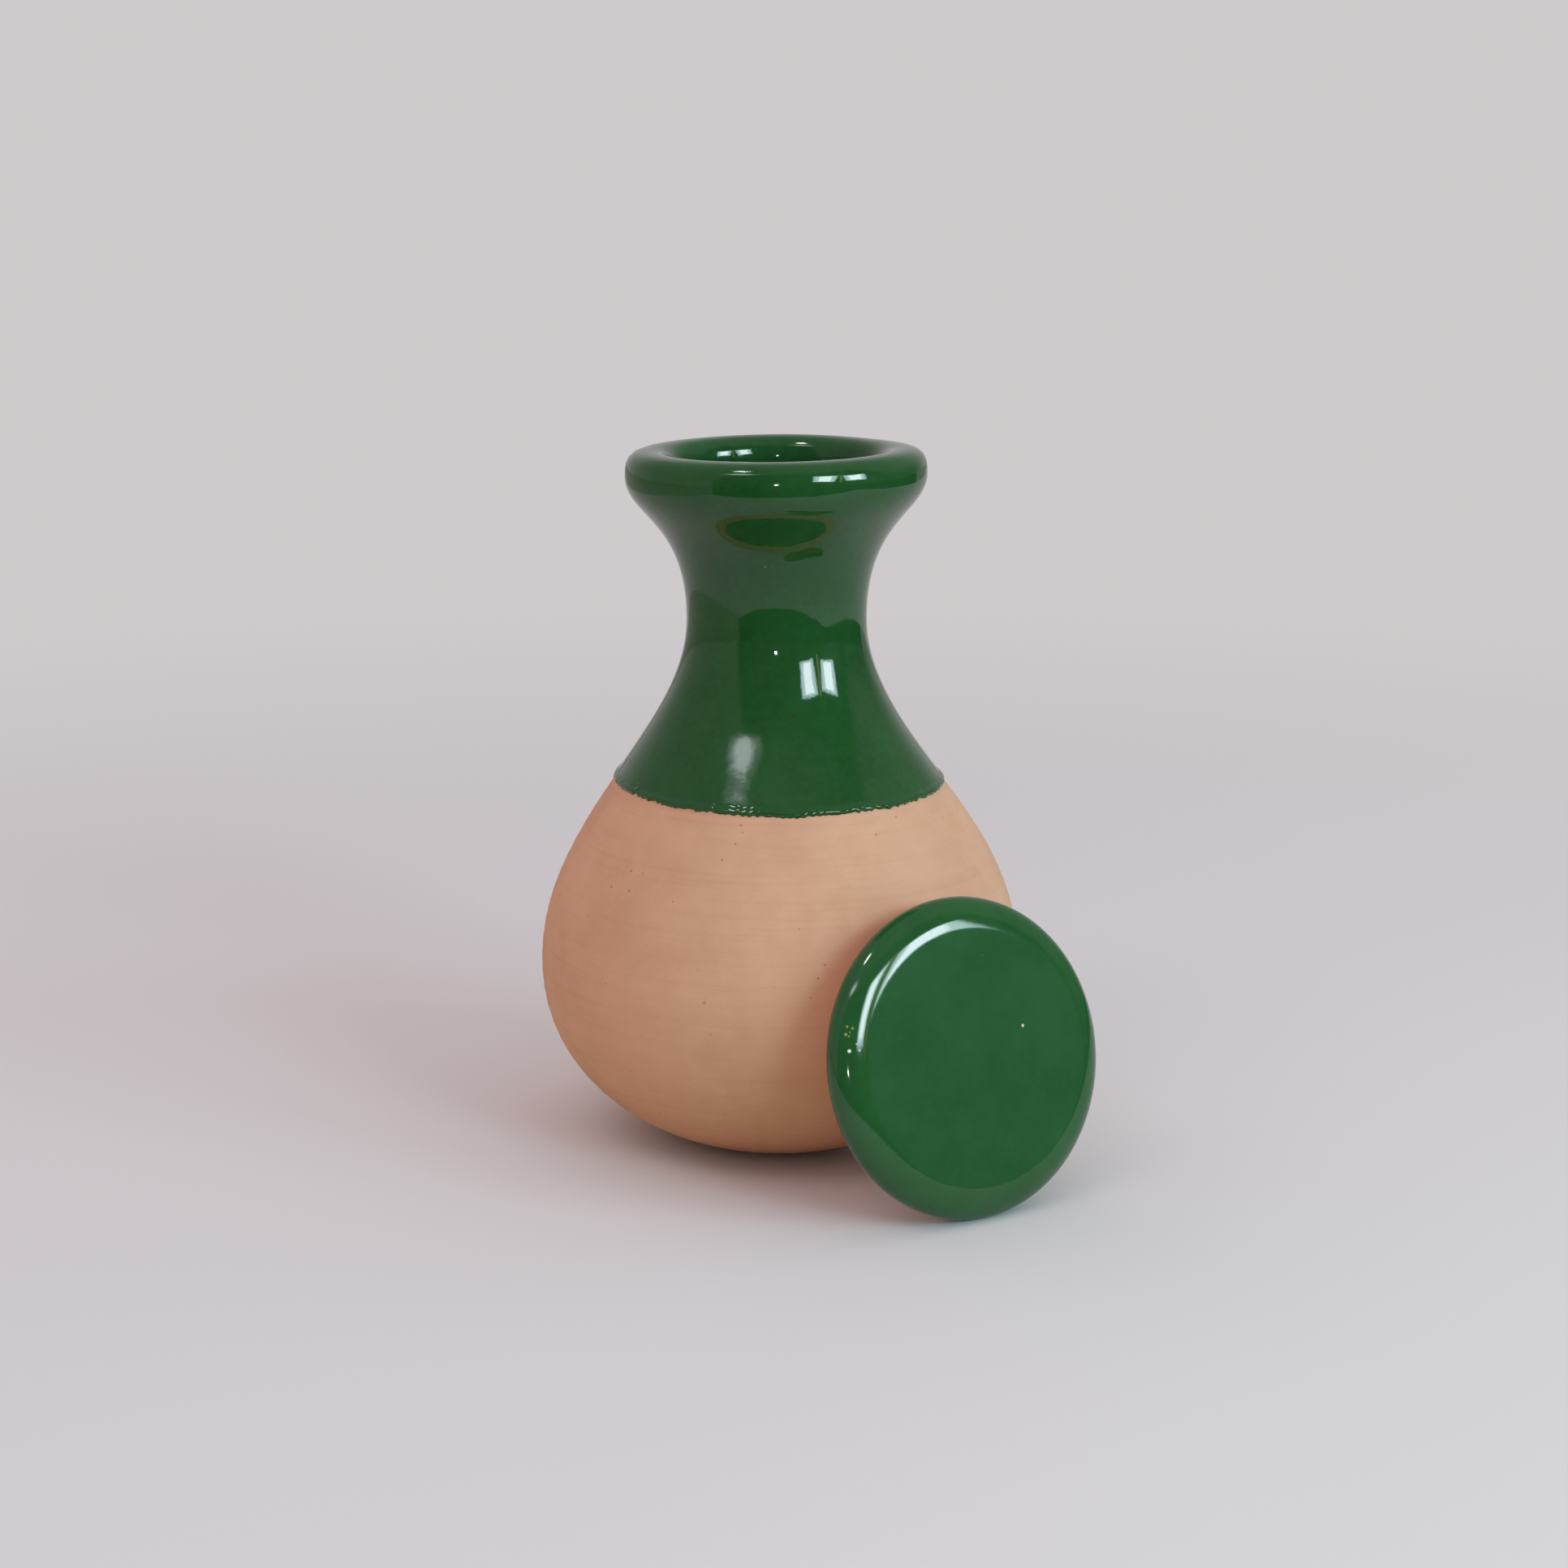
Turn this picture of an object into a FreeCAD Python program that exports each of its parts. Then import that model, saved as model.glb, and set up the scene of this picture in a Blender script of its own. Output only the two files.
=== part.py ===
"""Irrigation olla: a thrown clay vessel with a glazed neck, and its round glazed lid.

The vessel stands on the floor at the origin, with +Z up. Its lid is off: it stands on its
edge in front, to the right, and leans on the belly. Sizes are in millimetres and degrees.
"""
import FreeCAD, Part
import math
import os

import Sketcher
from FreeCAD import Placement, Rotation, Vector

OUT = "parts"

# Sizes are the clay's own, and the glaze lies on it. A share says how far a curve of the side
# keeps the direction that it starts or ends in, as a part of the height or width that it spans.
# A reach is the same along a slope, as a length.
SIZES = {
    "vessel_height": 224.5,
    "foot_radius": 24.2,
    "foot_reach": 17.4,
    "foot_slope": 6.6,
    "belly_radius": 77.7,
    "belly_height": 58.6,
    "belly_under_share": 0.664,
    "belly_over_share": 0.397,
    "glaze_line": 117.5,
    "shoulder_radius": 53.5,
    "shoulder_slope": 35.5,
    "shoulder_under_reach": 21.0,
    "shoulder_over_reach": 21.9,
    "waist_radius": 28.1,
    "waist_drop": 53.5,
    "waist_under_share": 0.36,
    "waist_over_share": 0.69,
    "rim_radius": 47.2,
    "rim_under_share": 0.253,
    "rim_depth": 7.6,
    "rim_outer_width": 7.3,
    "rim_inner_width": 8.2,
    "rim_upright_share": 0.62,
    "rim_level_share": 0.72,
    "glaze_thickness": 0.5,
    "glaze_edge_rise": 0.35,
    "wall": 6.0,
    "floor_thickness": 9.0,
    "floor_reach": 13.1,
    "inside_under_share": 0.609,
    "inside_waist_share": 0.55,
    "throat_under_share": 0.45,
    "lid_radius": 48.8,
    "lid_crown": 0.2,
    "lid_edge_width": 11.8,
    "lid_edge_rise": 7.0,
    "lid_under_round": 5.0,
    "ring_radius": 28.0,
    "ring_width": 6.0,
    "ring_depth": 6.2,
    "ring_bevel": 1.3,
    "lid_lean": 15.3,
    "lid_yaw": 34.2,
    "lid_bearing": 36.4,
    "lid_gap": 0.3,
}

# The middle poles of a cubic quarter round stand this share of its span from its ends.
ROUND = 0.552

FLOOR_REACH = 1000.0
GAP_TOLERANCE = 0.001
SLIDE_STEPS = 60

# Heights and radii that several curves share.
WAIST = "(vessel_height - waist_drop)"
WIDEST = "(vessel_height - rim_depth)"
CREST = "(rim_radius - rim_outer_width)"
RIM_UPRIGHT = f"{WIDEST} + rim_upright_share * (rim_depth + glaze_thickness)"
SHOULDER_SINE = "sin(shoulder_slope * 1 deg)"
SHOULDER_COSINE = "cos(shoulder_slope * 1 deg)"

# The inside bends where the outside does, with a radius that is a wall longer or shorter, and
# the middle poles of its curves stand this much further from their ends, or this much nearer.
BEND = "(4 / 3 * tan(shoulder_slope / 4 * 1 deg) * wall)"

document = FreeCAD.newDocument("irrigation_olla")


def make_sheet():
    """The spreadsheet of driving dimensions, one named cell each."""
    sheet = document.addObject("Spreadsheet::Sheet", "Sizes")
    for row, (word, size) in enumerate(SIZES.items(), start=1):
        sheet.set(f"A{row}", word)
        sheet.set(f"B{row}", str(size))
        sheet.setAlias(f"B{row}", word)
    document.recompute()
    return sheet


sizes = make_sheet()


def named(text):
    """An expression in which each word that names a size points to its cell."""
    spaced = "".join(c if c.isalnum() or c == "_" else " " for c in text)
    for word in sorted(set(spaced.split()) & set(SIZES), key=len, reverse=True):
        text = text.replace(word, f"Sizes.{word}")
    return text


def value(text):
    """What an expression comes to now, as a plain number."""
    return float(sizes.evalExpression(named(text)))


class Section:
    """A half section for turning about Z: radius to the right and height upwards.

    Each piece starts where the last one ended, and every point is a pair of expressions.
    """

    def __init__(self, body, name, start):
        self.sketch = body.newObject("Sketcher::SketchObject", name)
        plane = next(f for f in body.Origin.OriginFeatures if f.Role == "XZ_Plane")
        self.sketch.AttachmentSupport = [(plane, "")]
        self.sketch.MapMode = "FlatFace"
        self.start = start
        self.here = start
        self.first = None
        self.last = None

    def bind(self, geometry, vertex, point):
        """Hold one vertex at a point, with one constraint for each direction."""
        for way, text, across in (("DistanceX", point[0], -2), ("DistanceY", point[1], -1)):
            if text == "0":
                self.sketch.addConstraint(Sketcher.Constraint("PointOnObject", geometry, vertex, across))
                continue
            index = self.sketch.addConstraint(
                Sketcher.Constraint(way, -1, 1, geometry, vertex, value(text)))
            self.sketch.setExpression(f"Constraints[{index}]", named(text))

    def follow(self, geometry, end):
        """Tie a new piece to the one before it and hold its end."""
        if self.last is None:
            self.first = geometry
            self.bind(geometry, 1, self.start)
        else:
            self.sketch.addConstraint(Sketcher.Constraint("Coincident", self.last, 2, geometry, 1))
        if end == self.start:
            self.sketch.addConstraint(Sketcher.Constraint("Coincident", geometry, 2, self.first, 1))
        else:
            self.bind(geometry, 2, end)
        self.last = geometry
        self.here = end

    def vector(self, point):
        """A point of the section as it stands now."""
        return Vector(value(point[0]), value(point[1]), 0)

    def line(self, end):
        """A straight piece."""
        piece = Part.LineSegment(self.vector(self.here), self.vector(end))
        self.follow(self.sketch.addGeometry(piece, False), end)

    def curve(self, from_start, to_end, end):
        """A cubic piece: it leaves towards one middle pole and arrives from the other."""
        points = (self.here, from_start, to_end, end)
        piece = Part.BSplineCurve()
        piece.buildFromPolesMultsKnots([self.vector(p) for p in points], [4, 4], [0, 1], False, 3)
        geometry = self.sketch.addGeometry(piece, False)
        self.sketch.exposeInternalGeometry(geometry)
        self.bind(geometry + 2, 3, from_start)
        self.bind(geometry + 3, 3, to_end)
        self.follow(geometry, end)


def turn(body, section, name):
    """Turn a finished section once round the upright axis."""
    feature = body.newObject("PartDesign::Revolution", name)
    feature.Profile = section.sketch
    feature.ReferenceAxis = (section.sketch, ["V_Axis"])
    feature.Angle = 360
    document.recompute()
    return feature


def bare_side(section):
    """The clay's side, from the foot's edge over the belly to the glaze line."""
    section.curve(
        ("foot_radius + foot_reach * cos(foot_slope * 1 deg)", "foot_reach * sin(foot_slope * 1 deg)"),
        ("belly_radius", "belly_height * (1 - belly_under_share)"),
        ("belly_radius", "belly_height"))
    section.curve(
        ("belly_radius", "belly_height + belly_over_share * (glaze_line - belly_height)"),
        (f"shoulder_radius + shoulder_under_reach * {SHOULDER_SINE}",
         f"glaze_line - shoulder_under_reach * {SHOULDER_COSINE}"),
        ("shoulder_radius", "glaze_line"))


def glazed_side(section):
    """The coat's side, from its edge on the shoulder up the neck to the rim's crest."""
    start = ("shoulder_radius + glaze_thickness - glaze_edge_rise * tan(shoulder_slope * 1 deg)",
             "glaze_line + glaze_edge_rise")
    section.line(start)
    section.curve(
        (f"{start[0]} - shoulder_over_reach * {SHOULDER_SINE}",
         f"{start[1]} + shoulder_over_reach * {SHOULDER_COSINE}"),
        ("waist_radius + glaze_thickness", f"{WAIST} - waist_under_share * ({WAIST} - glaze_line)"),
        ("waist_radius + glaze_thickness", WAIST))
    section.curve(
        ("waist_radius + glaze_thickness", f"{WAIST} + waist_over_share * ({WIDEST} - {WAIST})"),
        ("rim_radius + glaze_thickness", f"{WIDEST} - rim_under_share * ({WIDEST} - {WAIST})"),
        ("rim_radius + glaze_thickness", WIDEST))
    section.curve(
        ("rim_radius + glaze_thickness", RIM_UPRIGHT),
        (f"{CREST} + rim_level_share * (rim_outer_width + glaze_thickness)",
         "vessel_height + glaze_thickness"),
        (CREST, "vessel_height + glaze_thickness"))


def inside(section):
    """The inside of the wall, from the rim's crest down the throat to the middle of the floor."""
    throat = f"({CREST} - rim_inner_width)"
    neck = "(waist_radius - wall)"
    belly = "(belly_radius - wall)"
    shoulder = (f"(shoulder_radius - wall * {SHOULDER_COSINE})", f"(glaze_line - wall * {SHOULDER_SINE})")
    over = f"(shoulder_over_reach + {BEND})"
    under = f"(shoulder_under_reach - {BEND})"
    section.curve(
        (f"{CREST} - rim_level_share * rim_inner_width", "vessel_height + glaze_thickness"),
        (throat, RIM_UPRIGHT),
        (throat, WIDEST))
    section.curve(
        (throat, f"{WIDEST} - throat_under_share * ({WIDEST} - {WAIST})"),
        (neck, f"{WAIST} + inside_waist_share * ({WIDEST} - {WAIST})"),
        (neck, WAIST))
    section.curve(
        (neck, f"{WAIST} - waist_under_share * ({WAIST} - glaze_line) - {BEND}"),
        (f"{shoulder[0]} - {over} * {SHOULDER_SINE}", f"{shoulder[1]} + {over} * {SHOULDER_COSINE}"),
        shoulder)
    section.curve(
        (f"{shoulder[0]} + {under} * {SHOULDER_SINE}", f"{shoulder[1]} - {under} * {SHOULDER_COSINE}"),
        (belly, f"belly_height + belly_over_share * (glaze_line - belly_height) - {BEND}"),
        (belly, "belly_height"))
    section.curve(
        (belly, "belly_height * (1 - inside_under_share)"),
        ("foot_radius + floor_reach", "floor_thickness"),
        ("foot_radius", "floor_thickness"))
    section.line(("0", "floor_thickness"))


def make_vessel():
    """The vessel, turned from one section: bare belly, coated neck and hollow inside."""
    body = document.addObject("PartDesign::Body", "olla_vessel")
    body.Label = "olla_vessel"
    section = Section(body, "vessel_section", ("0", "0"))
    section.line(("foot_radius", "0"))
    bare_side(section)
    glazed_side(section)
    inside(section)
    section.line(("0", "0"))
    turn(body, section, "vessel_turning")
    return body


def make_lid():
    """The lid in its own frame: underside at zero, glazed face up, locating ring below."""
    body = document.addObject("PartDesign::Body", "olla_lid")
    body.Label = "olla_lid"
    face = "(lid_radius - lid_edge_width)"
    edge = "(lid_under_round + lid_edge_rise)"
    section = Section(body, "lid_section", ("0", "0"))
    section.line(("ring_radius - ring_width", "0"))
    section.line(("ring_radius - ring_width", "-ring_depth"))
    section.line(("ring_radius", "-ring_depth"))
    section.line(("ring_radius", "0"))
    section.line(("lid_radius - lid_under_round", "0"))
    section.curve(
        (f"lid_radius - (1 - {ROUND}) * lid_under_round", "0"),
        ("lid_radius", f"(1 - {ROUND}) * lid_under_round"),
        ("lid_radius", "lid_under_round"))
    section.curve(
        ("lid_radius", f"lid_under_round + {ROUND} * lid_edge_rise"),
        (f"{face} + {ROUND} * lid_edge_width",
         f"{edge} - {ROUND} * lid_edge_width * 2 * lid_crown / {face}"),
        (face, edge))
    section.curve(
        (f"{face} * 2 / 3", f"{edge} + lid_crown * 2 / 3"),
        (f"{face} / 3", f"{edge} + lid_crown"),
        ("0", f"{edge} + lid_crown"))
    section.line(("0", "0"))
    turning = turn(body, section, "lid_turning")

    bevel = body.newObject("PartDesign::Chamfer", "ring_bevel")
    depth = value("-ring_depth")
    rims = [f"Edge{number}" for number, edge in enumerate(turning.Shape.Edges, start=1)
            if abs(edge.BoundBox.ZMin - depth) < 0.01 and abs(edge.BoundBox.ZMax - depth) < 0.01]
    bevel.Base = (turning, rims)
    bevel.setExpression("Size", named("ring_bevel"))
    document.recompute()
    return body


def lean_lid(lid, vessel):
    """Stand the lid on its edge and slide it in until it is a small gap off the belly."""
    lean = math.radians(value("lid_lean"))
    yaw = math.radians(value("lid_yaw"))
    bearing = math.radians(value("lid_bearing"))
    outward = Vector(math.sin(yaw) * math.cos(lean), -math.cos(yaw) * math.cos(lean), math.sin(lean))
    away = Vector(math.sin(bearing), -math.cos(bearing), 0)
    turned = Rotation(Vector(0, 0, 1), outward)

    shape = lid.Shape.copy()
    shape.Placement = Placement(Vector(0, 0, 0), turned)
    ground = Part.makePlane(2 * FLOOR_REACH, 2 * FLOOR_REACH,
                            Vector(-FLOOR_REACH, -FLOOR_REACH, -FLOOR_REACH))
    lift = FLOOR_REACH - shape.distToShape(ground)[0]

    reach = 2 * value("belly_radius + lid_radius")
    for _ in range(SLIDE_STEPS):
        shape.Placement = Placement(away * reach + Vector(0, 0, lift), turned)
        excess = shape.distToShape(vessel.Shape)[0] - value("lid_gap")
        if abs(excess) < GAP_TOLERANCE:
            break
        reach -= excess
    lid.Placement = shape.Placement
    document.recompute()


def write(parts):
    """Check every object and write each part's solid."""
    for item in document.Objects:
        if "Invalid" in item.State or "Error" in item.State:
            raise RuntimeError(f"{item.Name} failed: {item.State}")
    os.makedirs(OUT, exist_ok=True)
    for part in parts:
        shape = part.Shape
        if shape.isNull() or not shape.isValid() or len(shape.Solids) != 1:
            raise RuntimeError(f"{part.Label} isn't one sound solid")
        shape.exportStep(f"{OUT}/{part.Label}.step")
        print(f"{part.Label}: {shape.Volume / 1000:.1f} cubic centimetres")


vessel = make_vessel()
lid = make_lid()
lean_lid(lid, vessel)
write([vessel, lid])
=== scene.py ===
# %% [markdown]
# # An irrigation olla and its lid
# An olla is a round clay pot that is buried up to its neck beside plants. It is filled with
# water, which seeps slowly through the bare clay. This one has a bright green glaze on the neck,
# so that the part above the soil stays clean and loses no water. Its glazed lid is off and
# leans on the belly.
#
# The frame comes first: it is the measured model, and everything here is placed on it.

# %% Set up and load the frame
import math
import bmesh
import bpy
from mathutils import Matrix, Vector, noise


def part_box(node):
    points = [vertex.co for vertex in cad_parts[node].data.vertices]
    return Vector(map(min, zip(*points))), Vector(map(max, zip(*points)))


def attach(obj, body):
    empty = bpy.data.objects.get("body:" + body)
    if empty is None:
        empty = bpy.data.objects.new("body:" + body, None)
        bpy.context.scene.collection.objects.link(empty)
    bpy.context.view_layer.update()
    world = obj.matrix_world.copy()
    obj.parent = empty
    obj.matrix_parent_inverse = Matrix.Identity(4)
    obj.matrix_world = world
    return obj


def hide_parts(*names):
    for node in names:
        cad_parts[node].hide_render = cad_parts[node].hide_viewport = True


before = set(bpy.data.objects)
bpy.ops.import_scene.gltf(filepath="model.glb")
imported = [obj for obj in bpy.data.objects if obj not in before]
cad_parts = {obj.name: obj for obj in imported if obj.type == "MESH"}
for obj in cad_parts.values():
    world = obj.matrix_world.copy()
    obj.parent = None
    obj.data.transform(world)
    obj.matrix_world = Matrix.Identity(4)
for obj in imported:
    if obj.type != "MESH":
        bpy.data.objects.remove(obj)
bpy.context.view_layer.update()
print("nodes:", ", ".join(sorted(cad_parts)))

# %% [markdown]
# ## The sizes that the frame gives
# The measured model is the authority on size, so the belly's width and the pot's height are
# read from it. The other sizes of the outline are in metres, and are the model's own.

# %% Read the pot's and the lid's boxes
pot_high = Vector(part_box("olla_vessel")[1])
lid_low, lid_high = (Vector(corner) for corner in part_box("olla_lid"))
glaze_thickness = 0.0005
belly_radius = pot_high.x
crest_height = pot_high.z - glaze_thickness
print(f"belly {2000 * belly_radius:.1f} mm across, clay {1000 * crest_height:.1f} mm high")

# %% [markdown]
# ## The clay's outline
# A pot thrown on a wheel is one outline turned round an upright axis. The outline could be a
# long list of points, but a few smooth stretches are easier to read and to change. Each stretch
# is a cubic curve with four points: where it starts, where it heads, where it comes from and
# where it ends.

# %% A helper for a smooth stretch, and even spacing along a chain of them
def stretch(start, heading, arriving, end, count=60):
    """Points of one cubic curve in the section, as (radius, height), without the last."""
    start, heading, arriving, end = (Vector(p) for p in (start, heading, arriving, end))
    points = []
    for step in range(count):
        t = step / count
        s = 1 - t
        points.append(start * s**3 + heading * 3 * s * s * t + arriving * 3 * s * t * t + end * t**3)
    return points


def evenly(points, spacing):
    """The same line with its points a set distance apart."""
    spaced = [points[0]]
    left = spacing
    for here, there in zip(points, points[1:]):
        length = (there - here).length
        done = 0.0
        while length - done >= left:
            done += left
            spaced.append(here.lerp(there, done / length))
            left = spacing
        left -= length - done
    if (spaced[-1] - points[-1]).length < spacing / 2:
        spaced.pop()
    return spaced + [points[-1]]


# %% The outside and the inside of the wall
foot_radius = 0.0242
belly_height = 0.0586
glaze_line = 0.1175
shoulder_radius = 0.0535
waist_radius = 0.0283
waist_height = crest_height - 0.0535
rim_radius = 0.0475
rim_height = crest_height - 0.0076
crest_radius = rim_radius - 0.0073
throat_radius = crest_radius - 0.0070
wall = 0.006
floor_thickness = 0.009
inner_shoulder = (0.0486, 0.1140)

outside = (
    stretch((0, 0), (0.008, 0), (0.016, 0), (foot_radius, 0), 12)
    + stretch((foot_radius, 0), (0.0415, 0.002), (belly_radius, 0.0197), (belly_radius, belly_height))
    + stretch((belly_radius, belly_height), (belly_radius, 0.082), (0.0657, 0.1004),
              (shoulder_radius, glaze_line))
    + stretch((shoulder_radius, glaze_line), (0.0408, 0.1353), (waist_radius, 0.1518),
              (waist_radius, waist_height))
    + stretch((waist_radius, waist_height), (waist_radius, 0.2027), (rim_radius, 0.2053),
              (rim_radius, rim_height))
    + stretch((rim_radius, rim_height), (rim_radius, rim_height + 0.0056),
              (crest_radius + 0.0058, crest_height), (crest_radius, crest_height), 24))
inside = (
    stretch((crest_radius, crest_height), (crest_radius - 0.0056, crest_height),
            (throat_radius, rim_height + 0.0056), (throat_radius, rim_height), 24)
    + stretch((throat_radius, rim_height), (throat_radius, 0.196), (waist_radius - wall, 0.196),
              (waist_radius - wall, waist_height))
    + stretch((waist_radius - wall, waist_height), (waist_radius - wall, 0.1505), (0.0352, 0.1329),
              inner_shoulder)
    + stretch(inner_shoulder, (0.0601, 0.0979), (belly_radius - wall, 0.0807),
              (belly_radius - wall, belly_height))
    + stretch((belly_radius - wall, belly_height), (belly_radius - wall, 0.0229),
              (0.0373, floor_thickness), (foot_radius, floor_thickness))
    + stretch((foot_radius, floor_thickness), (0.016, floor_thickness), (0.008, floor_thickness),
              (0, floor_thickness), 12)
    + [Vector((0, floor_thickness))])
outline_spacing = 0.0018
wall_outline = evenly(outside + inside, outline_spacing)
print(f"the wall's outline has {len(wall_outline)} points")

# %% [markdown]
# ## Turning the outline
# A potter's wheel turns the clay, and Blender's spin operator does the same to a line of
# points. It gets slow over many steps, so it makes one slice of the pot, and turned copies of the
# slice make the rest. Points that meet are merged, also those on the axis, which leaves a closed
# skin whose faces can all be made to look outwards.

# %% A helper that spins a section
def turned(outline, steps, ring=False, slices=12):
    """A mesh in the making, turned once round Z from (radius, height) points."""
    form = bmesh.new()
    points = [form.verts.new((radius, 0, height)) for radius, height in outline]
    for here, there in zip(points, points[1:]):
        form.edges.new((here, there))
    if ring:
        form.edges.new((points[-1], points[0]))
    bmesh.ops.spin(form, geom=form.verts[:] + form.edges[:], axis=(0, 0, 1), cent=(0, 0, 0),
                   angle=math.tau / slices, steps=steps // slices)
    first = form.verts[:] + form.edges[:] + form.faces[:]
    for count in range(1, slices):
        copy = bmesh.ops.duplicate(form, geom=first)["geom"]
        bmesh.ops.rotate(form, verts=[part for part in copy if isinstance(part, bmesh.types.BMVert)],
                         cent=(0, 0, 0), matrix=Matrix.Rotation(math.tau * count / slices, 3, "Z"))
    bmesh.ops.remove_doubles(form, verts=form.verts[:], dist=1e-6)
    bmesh.ops.recalc_face_normals(form, faces=form.faces[:])
    return form


def finished(form, name):
    """A smooth-shaded object from a mesh in the making."""
    mesh = bpy.data.meshes.new(name)
    form.to_mesh(mesh)
    form.free()
    mesh.shade_smooth()
    piece = bpy.data.objects.new(name, mesh)
    bpy.context.scene.collection.objects.link(piece)
    print(f"{name}: {len(mesh.vertices)} points, {len(mesh.polygons)} faces")
    return piece


# %% [markdown]
# ## What the hand does to the shape
# A thrown pot is never quite round. This one's neck stands a millimetre to one side, its rim
# is a little higher on the right and sags at the back there, and the finger ridges show faintly
# in the bare wall, while the glaze fills them. These are moves of single points, so a small
# function takes each point of a perfect pot to its place on the thrown one.
# The belly where the lid leans stays where the frame has it.

# %% A helper for the thrown shape
def ease(low, high, value):
    """0 below low, 1 above high, and a smooth step between."""
    t = min(max((value - low) / (high - low), 0.0), 1.0)
    return t * t * (3 - 2 * t)


neck_span = (0.090, 0.140)
rim_span = (0.180, 0.216)
neck_drift = 0.0013
rim_tilt = math.radians(0.8)
rim_sag = 0.0005
sag_angle = 0.7
rim_wander = 0.0005
ridge_depth = 0.00006
ridge_pitch = 0.0052


def thrown(point):
    """Where a point of the perfect pot lies on the thrown one."""
    angle = math.atan2(point.y, point.x)
    up = point.z
    round_about = Vector((math.cos(angle), math.sin(angle), 0))
    neck = ease(*neck_span, up)
    rim = ease(*rim_span, up)
    wander = noise.noise(Vector((1.1 * round_about.x, 1.1 * round_about.y, 3.1 + 9 * up)))
    ridge = math.sin(math.tau * up / ridge_pitch + angle + 2.2 * noise.noise(Vector((0, 0, 40 * up))))
    ridge *= ease(0.008, 0.02, up) * (1 - ease(glaze_line - 0.012, glaze_line, up))
    swell = rim_wander * wander * (0.15 + 0.85 * neck) + ridge_depth * ridge
    moved = point + round_about * swell
    moved.x -= neck_drift * neck
    moved.z += rim * (moved.x * math.tan(rim_tilt) - rim_sag * max(0, math.cos(angle - sag_angle)) ** 6)
    return moved


# %% [markdown]
# ## The clay body
# The whole pot is one wall of clay, from the foot to the rim and down the inside to the floor.
# It is closed, so it has a real thickness from every side.

# %% Turn the clay and throw it
clay = turned(wall_outline, 264)
for vertex in clay.verts:
    vertex.co = thrown(vertex.co)
clay_body = finished(clay, "clay_body")

# %% [markdown]
# ## The glaze on the neck
# The pot is dipped upside down in glaze, which melts to a glassy coat half a millimetre thick.
# It could be a change of colour on the clay, but the coat has a rounded raised edge that catches
# the light, so it is a skin of its own. Its outline follows the clay's, a coat's thickness
# further out, over the rim and down the throat, and comes back just under the clay's surface.

# %% Helpers for a line beside another, and for a coat on a line
def beside(line, distances):
    """Each point of a line moved away from the clay by its own distance."""
    moved = []
    for index, point in enumerate(line):
        along = line[min(index + 1, len(line) - 1)] - line[max(index - 1, 0)]
        along.normalize()
        moved.append(point + Vector((along.y, -along.x)) * distances[index])
    return moved


lip_width = 0.0010
bead_width = 0.0030


def coat(line, thickness, bead, sunk, both_ends=True):
    """A coat's outer and inner lines. Its ends are rounded, with a slight bead behind them."""
    reached = [0.0]
    for here, there in zip(line, line[1:]):
        reached.append(reached[-1] + (there - here).length)
    depths = []
    for distance in reached:
        edge = min(distance, reached[-1] - distance) if both_ends else distance
        lip = math.sqrt(1 - (1 - min(edge / lip_width, 1.0)) ** 2)
        swollen = bead * ease(0, 0.6 * lip_width, edge) * (1 - ease(lip_width, bead_width, edge))
        depths.append(lip * (thickness + swollen))
    outer = beside(line, depths)
    inner = beside(line, [-sunk] * len(line))
    return outer, inner[:1] + inner[1:-1:4] + inner[-1:]


def thinned(line, step, kept=16):
    """A fine line with every point near its ends and only each step-th point between."""
    return [point for index, point in enumerate(line)
            if index < kept or index >= len(line) - kept or index % step == 0]


# %% The line that the coat follows, over the rim and down the throat
glazed_down_to = 0.178
fine_spacing = 0.0002
whole_line = evenly(outside + inside, fine_spacing)
top = max(range(len(whole_line)), key=lambda index: whole_line[index].y)
neck_line = [point for index, point in enumerate(whole_line)
             if point.y > (glaze_line if index < top else glazed_down_to)]
neck_line = thinned(neck_line, 9)
print(f"the coat's line has {len(neck_line)} points")

# %% [markdown]
# The lower edge of the coat isn't straight. Dipping leaves a slow wave in it, and the melting
# glaze pulls back from the clay in small scallops. Points near the edge slide along the shoulder
# by an amount that depends on the angle alone, and the lip itself is a little lumpy.

# %% Turn the coat, make its edge ragged, and throw it as the clay was
shoulder_slope = math.radians(35.5)
neck_bead = 0.00042
lump_height = 0.00034


def ragged(angle):
    """How far up the shoulder the coat's edge lies at an angle."""
    around = Vector((math.cos(angle), math.sin(angle), 0))
    middle = 0.0004 * noise.noise(around * 5.0 + Vector((0, 0, 9.0)))
    fine = 0.0012 * abs(noise.noise(around * 17.0 + Vector((0, 0, 2.0))))
    finest = 0.0004 * noise.noise(around * 48.0 + Vector((0, 0, 7.0)))
    return middle + fine + finest - 0.0002


def dipped(angle):
    """The slow wave of the dipping line round the shoulder."""
    return 0.0003 - 0.0007 * math.cos(angle) + 0.00055 * math.cos(2 * angle)


outer, inner = coat(neck_line, glaze_thickness, neck_bead, 0.0003)
skin = turned(outer + inner[::-1], 600, ring=True)
for vertex in skin.verts:
    near = 1 - ease(glaze_line + 0.001, glaze_line + 0.012, vertex.co.z)
    if near > 0 and vertex.co.xy.length > waist_radius:
        angle = math.atan2(vertex.co.y, vertex.co.x)
        slide = (ragged(angle) + dipped(angle)) * near
        outward = Vector((math.cos(angle), math.sin(angle), 0))
        lip = 1 - ease(glaze_line + 0.0003, glaze_line + 0.0016, vertex.co.z)
        lump = lump_height * noise.noise(Vector((40 * outward.x, 40 * outward.y, 900 * vertex.co.z)))
        up_the_shoulder = Vector((0, 0, math.cos(shoulder_slope))) - outward * math.sin(shoulder_slope)
        vertex.co += slide * up_the_shoulder
        vertex.co += lip * lump * outward
    vertex.co = thrown(vertex.co)
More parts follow.
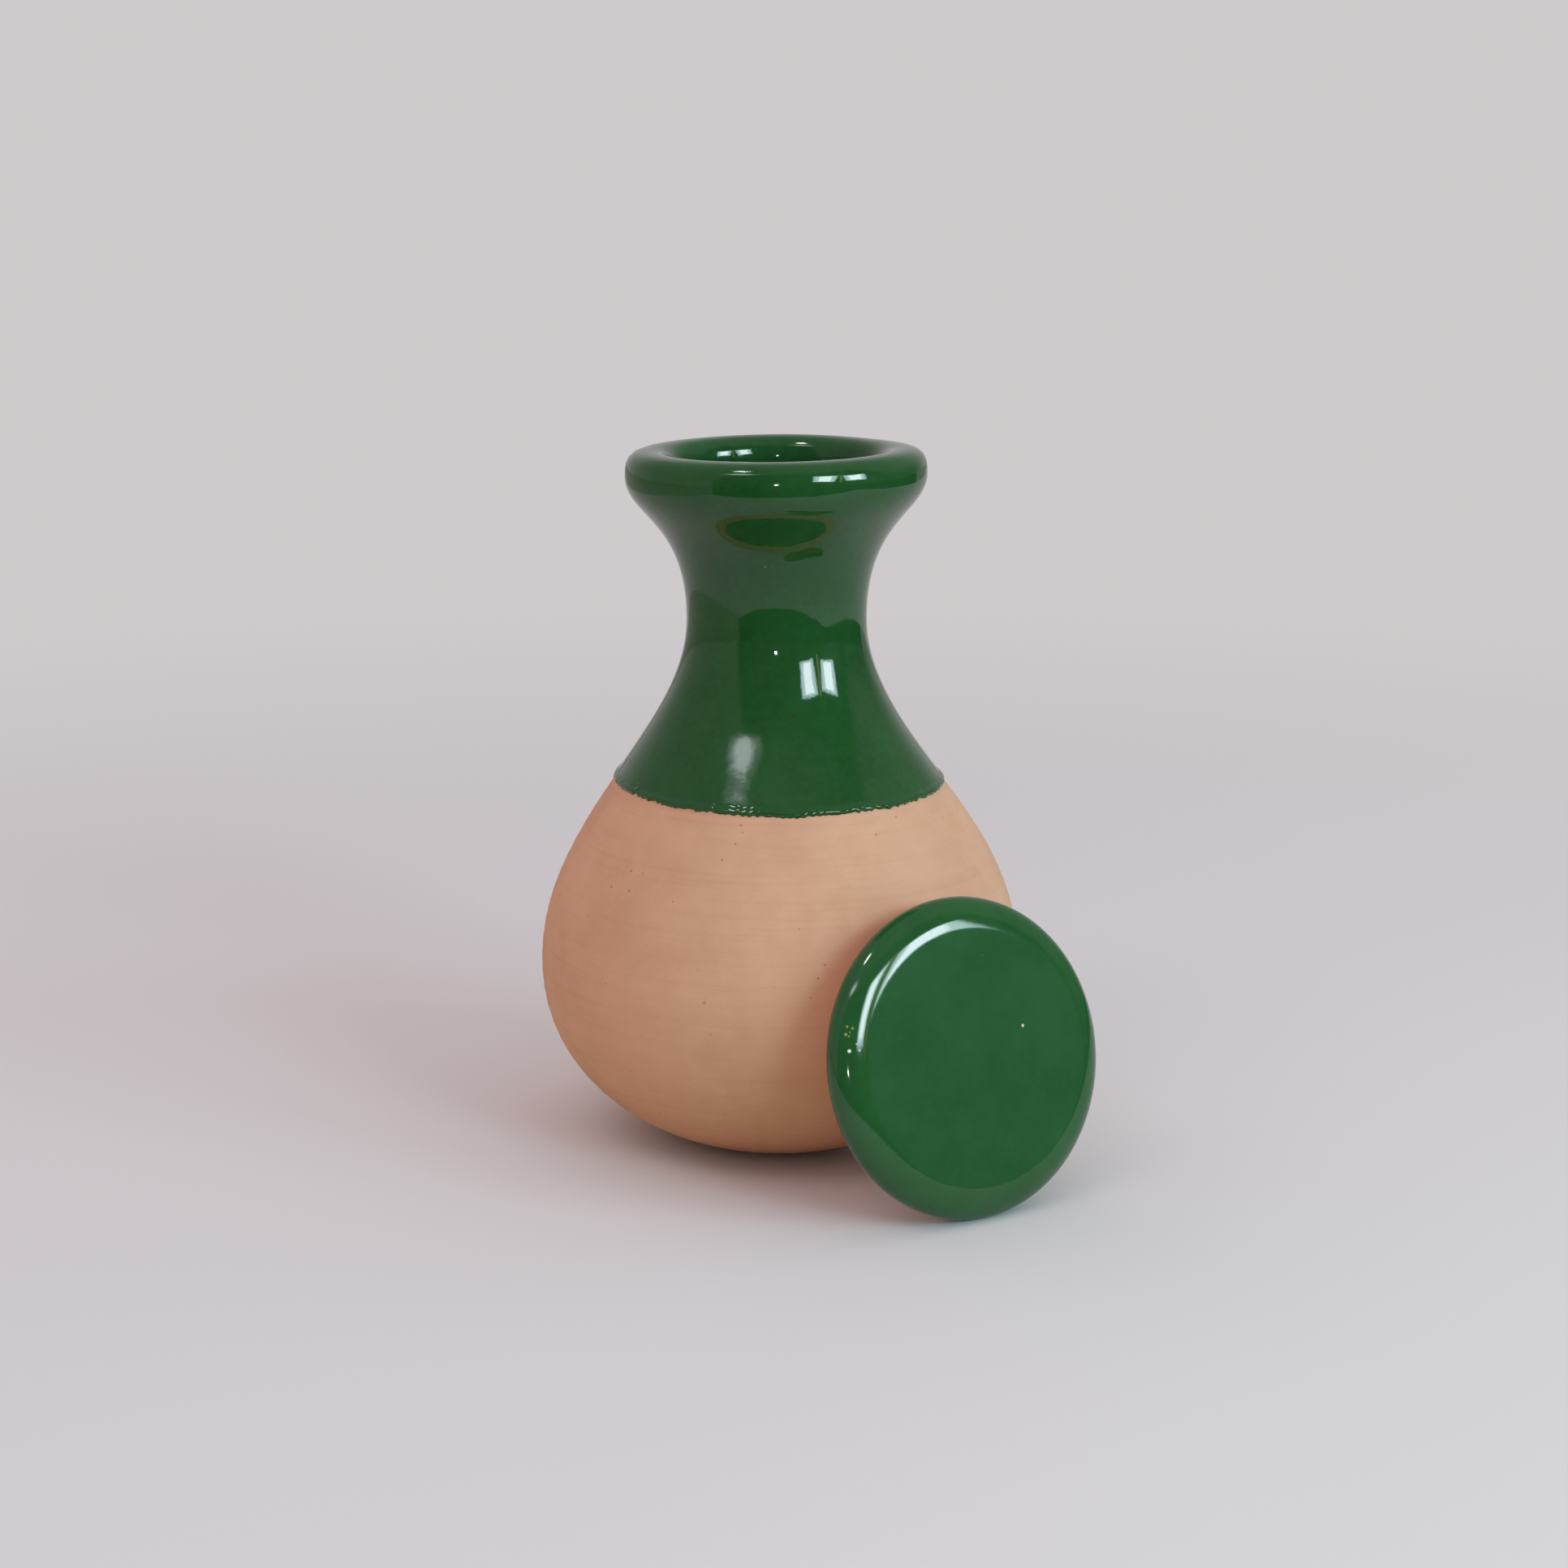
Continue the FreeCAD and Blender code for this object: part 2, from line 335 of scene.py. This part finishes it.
neck_glaze = finished(skin, "neck_glaze")

# %% [markdown]
# ## The lid
# The lid is a thick thrown disc with a rounded edge. Its face is glazed, and its underside is
# bare clay with a ring that sits in the pot's mouth. It is made lying flat at the origin, in
# two pieces as the pot is, and then leaned on the belly.

# %% The lid's outlines
lid_radius = 0.0491
lid_face = lid_radius - 0.0100
lid_edge = 0.012
lid_under_round = 0.005
lid_crown = 0.0002
lid_coat = 0.0004
ring_outer = 0.028
ring_inner = 0.022
ring_depth = 0.0062
ring_corner = 0.0015

lid_top = evenly(
    stretch((lid_radius - lid_under_round, 0), (lid_radius - 0.448 * lid_under_round, 0),
            (lid_radius, 0.448 * lid_under_round), (lid_radius, lid_under_round), 24)
    + stretch((lid_radius, lid_under_round), (lid_radius, 0.0089), (lid_face + 0.0053, lid_edge - 0.00006),
              (lid_face, lid_edge), 40)
    + stretch((lid_face, lid_edge), (0.0247, lid_edge + 0.00013), (0.0123, lid_edge + lid_crown),
              (0, lid_edge + lid_crown), 40)
    + [Vector((0, lid_edge + lid_crown))], fine_spacing)
under_glaze = beside(lid_top, [-lid_coat * ease(0.0004, 0.0016, point.y) for point in lid_top])
under_glaze[-1].x = 0


def soft_corner(centre, height, first, count=6):
    """Points of a quarter round on the ring's lower edge."""
    turns = [math.radians(first + 90 * step / count) for step in range(count + 1)]
    return [Vector((centre + ring_corner * math.cos(turn), height + ring_corner * math.sin(turn)))
            for turn in turns]


ring_line = (
    [Vector((0, 0)), Vector((ring_inner / 2, 0)), Vector((ring_inner, 0))]
    + soft_corner(ring_inner + ring_corner, ring_corner - ring_depth, 180)
    + soft_corner(ring_outer - ring_corner, ring_corner - ring_depth, 270)
    + [Vector((ring_outer, 0))])
lid_clay_line = ring_line + under_glaze[::5] + [under_glaze[-1]]
lid_glaze_line = [point for point in under_glaze if point.y > 0.0013]
lid_glaze_line = thinned(lid_glaze_line, 6)
print(f"lid outlines: {len(lid_clay_line)} points bare, {len(lid_glaze_line)} glazed")

# %% Turn both pieces of the lid
lid_bare = turned(lid_clay_line, 240)
outer, inner = coat(lid_glaze_line, lid_coat, 0.00008, 0.0003, both_ends=False)
inner[0].x = 0
outer[-1].x = 0
lid_glazed = turned(outer[::-1] + inner[::-1], 360)
for vertex in lid_glazed.verts:
    reach = vertex.co.xy.length
    if vertex.co.z < 0.006 and reach > lid_face:
        angle = math.atan2(vertex.co.y, vertex.co.x)
        near = 1 - ease(0.002, 0.006, vertex.co.z)
        vertex.co.xy *= 1 + 4 * ragged(angle) * near * (1 - reach / lid_radius)

# %% [markdown]
# The frame's lid leans back by 15.3 degrees. Here both pieces lean a degree less, because the
# window's reflections on the glazed face then fall where the photograph has them. Their place
# comes from the frame: the middle of their box moves to the middle of its box, and their lowest
# point to the floor.

# %% Lean the lid on the belly
lean = math.radians(14.2)
yaw = math.radians(33.3)
facing = Vector((math.sin(yaw) * math.cos(lean), -math.cos(yaw) * math.cos(lean), math.sin(lean)))
leaning = Vector((0, 0, 1)).rotation_difference(facing).to_matrix()
for form in (lid_bare, lid_glazed):
    bmesh.ops.rotate(form, verts=form.verts[:], cent=(0, 0, 0), matrix=leaning)
reached = [vertex.co for form in (lid_bare, lid_glazed) for vertex in form.verts]
middle = Vector([(min(p[axis] for p in reached) + max(p[axis] for p in reached)) / 2
                 for axis in range(3)])
lid_place = (lid_low + lid_high) / 2 - middle
lid_place.z = lid_low.z - min(p.z for p in reached)
for form in (lid_bare, lid_glazed):
    bmesh.ops.translate(form, verts=form.verts[:], vec=lid_place)
print("lid centre on its underside:", [round(1000 * part, 2) for part in lid_place])
lid_clay = finished(lid_bare, "lid_clay")
lid_glaze = finished(lid_glazed, "lid_glaze")

# %% [markdown]
# ## Writing materials as sums
# A material is a graph of nodes, and long ones are hard to read as links. Here one small class
# stands for a node's output. Adding or multiplying two of them adds a Math node, so a pattern
# is written as a sum. Every other node comes from one method of the graph's own class.

# %% Two helper classes for node graphs
class Wire:
    """The output of a node, which can be used in sums."""

    def __init__(self, graph, socket):
        self.graph = graph
        self.socket = socket

    def maths(self, operation, first, second):
        return self.graph.node("ShaderNodeMath", {"operation": operation}, {0: first, 1: second})

    def __add__(self, other):
        return self.maths("ADD", self, other)

    def __radd__(self, other):
        return self.maths("ADD", other, self)

    def __sub__(self, other):
        return self.maths("SUBTRACT", self, other)

    def __rsub__(self, other):
        return self.maths("SUBTRACT", other, self)

    def __mul__(self, other):
        return self.maths("MULTIPLY", self, other)

    def __rmul__(self, other):
        return self.maths("MULTIPLY", other, self)

    def __lt__(self, other):
        return self.maths("LESS_THAN", self, other)

    def __gt__(self, other):
        return self.maths("GREATER_THAN", self, other)


class Graph:
    """The nodes of one material or of the world."""

    def __init__(self, owner):
        owner.use_nodes = True
        self.tree = owner.node_tree
        self.tree.nodes.clear()

    def node(self, kind, settings, inputs, output=0):
        """Add a node, set it up, feed it, and give back one of its outputs."""
        made = self.tree.nodes.new(kind)
        for name, setting in settings.items():
            setattr(made, name, setting)
        for name, value in inputs.items():
            if isinstance(value, Wire):
                self.tree.links.new(value.socket, made.inputs[name])
            else:
                made.inputs[name].default_value = value
        return Wire(self, made.outputs[output]) if made.outputs else None

    def blend(self, share, one, other):
        """One colour where share is 0 and the other where it is 1."""
        colours = {6: one if isinstance(one, Wire) else (*one, 1),
                   7: other if isinstance(other, Wire) else (*other, 1)}
        return self.node("ShaderNodeMix", {"data_type": "RGBA"}, {0: share, **colours}, 2)

    def between(self, value, low, high):
        """0 where a value is below low, 1 where it is above high, and smooth between."""
        return self.node("ShaderNodeMapRange", {"interpolation_type": "SMOOTHSTEP"},
                         {"Value": value, "From Min": low, "From Max": high})

    def dot(self, place, towards):
        """How far a place or a direction reaches towards another."""
        return self.node("ShaderNodeVectorMath", {"operation": "DOT_PRODUCT"}, {0: place, 1: towards}, "Value")

    def noise(self, place, scale, detail=2.0, roughness=0.5, distortion=0.0):
        """A soft random value from 0 to 1 that changes over the given place."""
        return self.node("ShaderNodeTexNoise", {}, {"Vector": place, "Scale": scale, "Detail": detail,
                                                    "Roughness": roughness, "Distortion": distortion})


# %% [markdown]
# ## Bare clay
# Low-fired earthenware is dull, pink to ochre, and never one colour: the fire reaches it unevenly,
# and tiny grains stand in it. Colour comes from soft noise of several sizes, with fine dark and
# pale grains over it, and the same grain gives the slight roughness to the touch.

# %% The clay's finish
def clay_finish():
    """Bisque-fired clay, blotched and grainy, with the faint rings that fingers leave."""
    material = bpy.data.materials.new("bisque_clay")
    graph = Graph(material)
    place = graph.node("ShaderNodeTexCoord", {}, {}, "Object")
    cloud = graph.between(graph.noise(place, 24, 3.0, 0.55), 0.32, 0.68)
    patch = graph.between(graph.noise(place, 9, 2.0, 0.5, 0.6), 0.35, 0.65)
    mottle = graph.noise(place, 120, 3.0, 0.6)
    grain = graph.noise(place, 1400, 2.0, 0.7)
    level = graph.node("ShaderNodeVectorMath", {"operation": "MULTIPLY"}, {0: place, 1: (12, 12, 620)})
    rings = graph.noise(level, 1.0, 2.0, 0.6)
    colour = graph.blend(cloud, (0.670, 0.374, 0.233), (0.760, 0.440, 0.292))
    colour = graph.blend(patch * 0.45, colour, (0.720, 0.376, 0.255))
    colour = graph.blend(graph.between(mottle, 0.35, 0.75) * 0.25, colour, (0.820, 0.495, 0.340))
    colour = graph.blend(graph.between(rings, 0.50, 0.72) * 0.14, colour, (0.52, 0.26, 0.16))
    colour = graph.blend(graph.between(grain, 0.60, 0.80) * 0.35, colour, (0.42, 0.20, 0.12))
    flaw = graph.node("ShaderNodeTexVoronoi", {}, {"Vector": place, "Scale": 260.0}, "Distance")
    pick = graph.noise(place, 60, 1.0)
    colour = graph.blend((flaw < 0.10) * (pick > 0.60) * 0.5, colour, (0.22, 0.12, 0.07))
    height = mottle * 0.4 + grain * 0.5 + rings * 0.35
    normal = graph.node("ShaderNodeBump", {}, {"Strength": 0.5, "Distance": 0.00025, "Height": height})
    surface = graph.node("ShaderNodeBsdfPrincipled", {}, {
        "Base Color": colour, "Roughness": 0.88, "Specular IOR Level": 0.25, "Normal": normal})
    graph.node("ShaderNodeOutputMaterial", {}, {"Surface": surface})
    return material


bisque_clay = clay_finish()
for piece in (clay_body, lid_clay):
    piece.data.materials.append(bisque_clay)
print("clay finish on", clay_body.name, "and", lid_clay.name)

# %% [markdown]
# ## Glaze
# The glaze is coloured glass: a deep green below and a mirror-smooth surface above, which is what
# one glossy shader does. Molten glass is never flat, so a very low, wide bump bends the
# reflections. Pinholes and specks sit in it, and the ones that show in front are each put in
# their own place. One near-white spot on the lid's edge is no speck but a painted highlight, a
# point of light painted into the colour.

# %% The glaze's finish, its specks, and a painted highlight on the lid
neck_specks = [
    ((-0.0365, -0.0270, 0.2224), 0.0005, (0.36, 0.36, 0.26)),
    ((0.0257, -0.0295, 0.2034), 0.0005, (0.004, 0.020, 0.008)),
    ((-0.0045, -0.0321, 0.1919), 0.0004, (0.24, 0.30, 0.20)),
    ((0.0042, -0.0352, 0.1451), 0.0006, (0.050, 0.040, 0.012))]
lid_specks_and_glint = [
    ((0.0455, -0.0794, 0.0879), 0.0007, (0.002, 0.010, 0.006)),
    ((0.0439, -0.0816, 0.0850), 0.0004, (0.002, 0.012, 0.006)),
    ((0.0199, -0.1004, 0.0648), 0.0005, (0.44, 0.34, 0.08)),
    ((0.0215, -0.1006, 0.0644), 0.0005, (0.44, 0.34, 0.08)),
    ((0.0207, -0.1011, 0.0633), 0.0004, (0.34, 0.30, 0.09)),
    ((0.0195, -0.1013, 0.0627), 0.0006, (0.40, 0.34, 0.10)),
    ((0.0204, -0.1016, 0.0622), 0.0004, (0.34, 0.30, 0.09)),
    ((0.0226, -0.1021, 0.0600), 0.0004, (0.60, 0.60, 0.45)),
    ((0.0235, -0.1025, 0.0582), 0.0005, (0.60, 0.60, 0.45)),
    # A painted highlight, not a speck: a point of light on the lid's edge, painted near-white into the colour.
    ((0.0205, -0.1030, 0.0581), 0.0007, (0.95, 0.95, 0.90)),
    ((0.0741, -0.0707, 0.0562), 0.0006, (0.90, 0.76, 0.50))]


def glaze_finish(name, thin, thick, wave, roughness, specks_and_glint):
    """Gloss green glaze between two greens, with waves of a given height, and its specks, painted highlights
    among them.
    """
    material = bpy.data.materials.new(name)
    graph = Graph(material)
    place = graph.node("ShaderNodeTexCoord", {}, {}, "Object")
    cloud = graph.between(graph.noise(place, 45, 3.0, 0.6), 0.3, 0.7)
    mottle = graph.noise(place, 380, 3.0, 0.65)
    colour = graph.blend(cloud, thick, thin)
    colour = graph.blend(graph.between(mottle, 0.40, 0.75) * 0.25, colour, (0.022, 0.125, 0.036))
    pinhole = graph.node("ShaderNodeTexVoronoi", {}, {"Vector": place, "Scale": 300.0}, "Distance")
    pick = graph.noise(place, 130, 1.0)
    colour = graph.blend((pinhole < 0.07) * (pick > 0.70), colour, (0.12, 0.22, 0.08))
    for centre, radius, shade in specks_and_glint:
        away = graph.node("ShaderNodeVectorMath", {"operation": "DISTANCE"}, {0: place, 1: centre}, "Value")
        colour = graph.blend(1 - graph.between(away, radius * 0.6, radius), colour, shade)
    waves = graph.noise(place, 130, 2.0, 0.45) + 0.10 * graph.noise(place, 700, 2.0)
    normal = graph.node("ShaderNodeBump", {}, {"Strength": 1.0, "Distance": wave, "Height": waves})
    surface = graph.node("ShaderNodeBsdfPrincipled", {}, {
        "Base Color": colour, "Roughness": roughness, "IOR": 1.5, "Normal": normal})
    graph.node("ShaderNodeOutputMaterial", {}, {"Surface": surface})
    return material


for piece, thick, thin, wave, roughness, specks_and_glint in (
        (neck_glaze, (0.0090, 0.068, 0.0135), (0.0140, 0.082, 0.0190), 0.00005, 0.05, neck_specks),
        (lid_glaze, (0.0125, 0.088, 0.0205), (0.0185, 0.106, 0.0285), 0.00003, 0.08, lid_specks_and_glint)):
    piece.data.materials.append(glaze_finish(piece.name + "_gloss", thin, thick, wave, roughness, specks_and_glint))
    print("glaze finish on", piece.name, "with", len(specks_and_glint), "specks_and_glint")

# %% [markdown]
# ## Fixing the pieces to the frame
# Nothing on an olla moves, so every piece rides on the frame's one body. The clay and the glaze
# together stand for the frame's vessel, and the same goes for the lid.

# %% Ride and replace
for piece in (clay_body, neck_glaze):
    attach(piece, "root")
    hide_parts("olla_vessel")
for piece in (lid_clay, lid_glaze):
    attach(piece, "root")
    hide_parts("olla_lid")
print("four pieces stand for two nodes")

# %% [markdown]
# ## The floor and the backdrop
# The pot stands on pale paper that has no visible end. A wide floor takes the shadows, and where
# it gets far it fades into the colour of the backdrop, so that no horizon shows from any side.
# In reflections the paper ends half a metre from the pot at the front and the left, where a real
# sheet does. The table beyond it has its light and shade painted in: painted shade makes it dark
# in front, and painted light makes it lit on the left. The light that the paper throws up on the
# clay is a little dimmer and warmer than the paper looks.

# %% The floor
backdrop_colour = (0.62, 0.595, 0.60)
paper_colour = (0.76, 0.75, 0.755)
bounced_colour = (0.70, 0.62, 0.50)
# The table's painted shade and painted light, as mirrors see them.
unlit_table = (0.04, 0.04, 0.04)
lit_table = (0.46, 0.51, 0.42)
sheet_front, sheet_left, sheet_right = -0.455, -0.49, 0.85
towards_dark = (1, -1.11, 0)
fade_from, fade_to = 0.28, 1.1

floor_form = bmesh.new()
bmesh.ops.create_circle(floor_form, cap_ends=True, segments=96, radius=8.0)
floor = finished(floor_form, "floor")
floor_paint = bpy.data.materials.new("pale_paper")
graph = Graph(floor_paint)
place = graph.node("ShaderNodeTexCoord", {}, {}, "Object")
across = graph.node("ShaderNodeSeparateXYZ", {}, {"Vector": place}, "X")
depth = graph.node("ShaderNodeSeparateXYZ", {}, {"Vector": place}, "Y")
distance = graph.node("ShaderNodeVectorMath", {"operation": "LENGTH"}, {0: place}, "Value")
seen = graph.node("ShaderNodeLightPath", {}, {}, "Is Camera Ray")
mirrored = graph.node("ShaderNodeLightPath", {}, {}, "Is Glossy Ray")
sheet = (graph.between(depth, sheet_front - 0.01, sheet_front + 0.01)
         * graph.between(across, sheet_left - 0.01, sheet_left + 0.01)
         * (1 - graph.between(across, sheet_right - 0.03, sheet_right + 0.03)))
# Painted light and shade: beyond the sheet, mirrored rays see a table painted dark in front and lit on the
# left.
table_light_and_shade = graph.blend(graph.between(graph.dot(place, towards_dark), -0.03, 0.03), lit_table, unlit_table)
paper = graph.blend(seen + mirrored, bounced_colour, paper_colour)
paper = graph.blend(mirrored * (1 - sheet), paper, table_light_and_shade)
matt = graph.node("ShaderNodeBsdfDiffuse", {}, {"Color": paper})
far = graph.node("ShaderNodeEmission", {}, {"Color": (*backdrop_colour, 1), "Strength": 1.0})
faded = seen * graph.between(distance, fade_from, fade_to)
both = graph.node("ShaderNodeMixShader", {}, {0: faded, 1: matt, 2: far})
graph.node("ShaderNodeOutputMaterial", {}, {"Surface": both})
floor.data.materials.append(floor_paint)
print("floor radius 8 m")

# %% [markdown]
# ## The light in the room
# Glaze shows its room like a mirror, so the room has to be right: pale at the back, dimmer at the
# sides, with a wide dark opening in front and a soft bright patch high on the left, whose edge is
# an oval with some noise in it. The patch's two vectors lie along and up it, and the longer a
# vector is, the narrower the patch. The world gives all that by direction to mirror-like rays.
# To every other ray it gives the soft light that fills the shadows, warm from the left and cool
# from the right, and to the camera it gives the plain backdrop.

# %% The world
left_fill = (0.38, 0.345, 0.335)
right_fill = (0.28, 0.38, 0.39)
top_fill = (0.79, 0.69, 0.71)
towards_opening = (0.358, -0.934, 0)
towards_sill = (0.934, -0.340, 0.105)
along_patch = (4.4, -2.25, 0.68)
up_patch = (3.8, 9.9, 8.05)

world = bpy.data.worlds.new("room")
bpy.context.scene.world = world
graph = Graph(world)
direction = graph.node("ShaderNodeTexCoord", {}, {}, "Generated")
across = graph.node("ShaderNodeSeparateXYZ", {}, {"Vector": direction}, "X")
back = graph.node("ShaderNodeSeparateXYZ", {}, {"Vector": direction}, "Y")
up = graph.node("ShaderNodeSeparateXYZ", {}, {"Vector": direction}, "Z")
opening = graph.between(graph.dot(direction, towards_opening), 0.27, 0.42) * (1 - graph.between(up, 0.70, 0.90))
sill = graph.between(graph.dot(direction, towards_sill), 0.965, 0.995)
walls = graph.blend(graph.between(across, -0.6, 0.6), (0.42, 0.45, 0.38), (0.12, 0.13, 0.13))
walls = graph.blend(graph.between(up, 0.02, 0.45), walls, (0.35, 0.39, 0.34))
low_back = graph.between(back, 0.55, 0.95) * (1 - graph.between(up, 0.30, 0.70))
walls = graph.blend(low_back, walls, (0.50, 0.49, 0.495))
room = graph.blend(opening, walls, (0.10, 0.11, 0.09))
room = graph.blend(sill, room, (0.22, 0.24, 0.27))
along = graph.dot(direction, along_patch)
upright = graph.dot(direction, up_patch)
far_out = along * along + upright * upright + graph.noise(direction, 9, 2.0) * 0.9
room = graph.blend(graph.between(far_out, 1.2, 1.9), (1.3, 1.36, 1.4), room)
room = graph.blend(graph.between(far_out, 0.5, 1.25), (6.4, 6.8, 7.0), room)
fill = graph.blend(graph.between(across, -0.8, 0.8), left_fill, right_fill)
fill = graph.blend(graph.between(up, 0.2, 0.9), fill, top_fill)
seen = graph.node("ShaderNodeLightPath", {}, {}, "Is Camera Ray")
mirrored = graph.node("ShaderNodeLightPath", {}, {}, "Is Glossy Ray")
shown = graph.blend(mirrored, graph.blend(seen, fill, backdrop_colour), room)
light = graph.node("ShaderNodeBackground", {}, {"Color": shown, "Strength": 1.0})
graph.node("ShaderNodeOutputWorld", {}, {"Surface": light})
print("world set")

# %% [markdown]
# Lamps do the rest. Two panes of a window stand to the front right, low and cool: they draw the two
# bright strips on the neck and the crescent on the lid, with brighter middles and a thin post
# between them. A warm lamp high on the left lights the clay from the place of the soft patch. A
# ceiling lamp draws the line on the rim's crest, and a small bright one behind the camera draws
# only the points of light.

# %% A helper for a lamp, aimed at the neck
aim = Vector((0.010, -0.028, 0.150))


def lamp(name, azimuth, elevation, distance, width, height, radiance, colour, serves="both", roll=0.0):
    """A flat lamp that serves matt surfaces, mirrors or both. Azimuth 0 is towards the camera."""
    turn, rise = math.radians(azimuth), math.radians(elevation)
    away = Vector((math.sin(turn) * math.cos(rise), -math.cos(turn) * math.cos(rise), math.sin(rise)))
    data = bpy.data.lights.new(name, "AREA")
    data.shape = "RECTANGLE"
    data.size = width
    data.size_y = height
    data.energy = math.pi * width * height * radiance
    data.color = colour
    holder = bpy.data.objects.new(name, data)
    holder.matrix_world = (Matrix.Translation(aim + away * distance)
                           @ away.to_track_quat("Z", "Y").to_matrix().to_4x4()
                           @ Matrix.Rotation(math.radians(roll), 4, "Z"))
    holder.visible_camera = False
    holder.visible_diffuse = serves != "mirrors"
    holder.visible_glossy = serves != "matt"
    bpy.context.scene.collection.objects.link(holder)
    print(f"{name}: {data.energy:.2f} W at {[round(x, 2) for x in holder.location]}")
    return holder


# %% The lamps
window_white = (0.68, 1.0, 1.10)
cool_white = (0.92, 0.98, 1.0)
warm_white = (1.0, 0.92, 0.89)
near_white = (1.0, 0.98, 0.94)
olive = (1.0, 0.75, 0.30)
pinkish = (1.0, 0.66, 0.66)
lamp_distance = 1.8
for name, azimuth, elevation, width, height, roll in (
        ("window_left_pane", 37.5, 22.3, 0.56, 0.67, -12.0),
        ("window_right_pane", 63.0, 18.9, 0.57, 0.56, -4.0)):
    lamp(name, azimuth, elevation, lamp_distance, width, height, 6.7, window_white, "both", roll)
    lamp(name + "_middle", azimuth, elevation, lamp_distance - 0.03, 0.84 * width, 0.90 * height, 4.0,
         cool_white, "mirrors", roll)
    lamp(name + "_core", azimuth, elevation, lamp_distance - 0.06, 0.52 * width, 0.80 * height, 9.0,
         cool_white, "mirrors", roll)
lamp("window_post", 50.5, 19.0, lamp_distance, 0.055, 0.75, 2.2, olive, "mirrors", -8.0)
lamp("warm_left_lamp", -36.5, 51.5, lamp_distance, 0.80, 0.50, 2.2, pinkish, "matt")
lamp("ceiling_lamp", -54.0, 68.0, lamp_distance, 0.24, 0.20, 26.0, warm_white, "mirrors")
lamp("small_front_lamp", -0.4, 7.2, 2.2, 0.10, 0.08, 70.0, near_white, "mirrors")

# %% [markdown]
# ## The camera
# The camera looks slightly down at the pot from a metre away, with the lens and the place that
# make the pot's outline fall where the photograph has it.

# %% Camera
camera_data = bpy.data.cameras.new("camera")
camera_data.lens = 71.74
camera_data.sensor_width = 36.0
camera = bpy.data.objects.new("camera", camera_data)
camera.location = (0.00122, -0.98715, 0.33427)
looking_down = 12.46
camera.rotation_euler = (math.radians(90 - looking_down), 0, 0)
bpy.context.scene.collection.objects.link(camera)
bpy.context.scene.camera = camera
bpy.context.scene.view_settings.view_transform = "Standard"
print("camera lens", camera_data.lens, "mm")
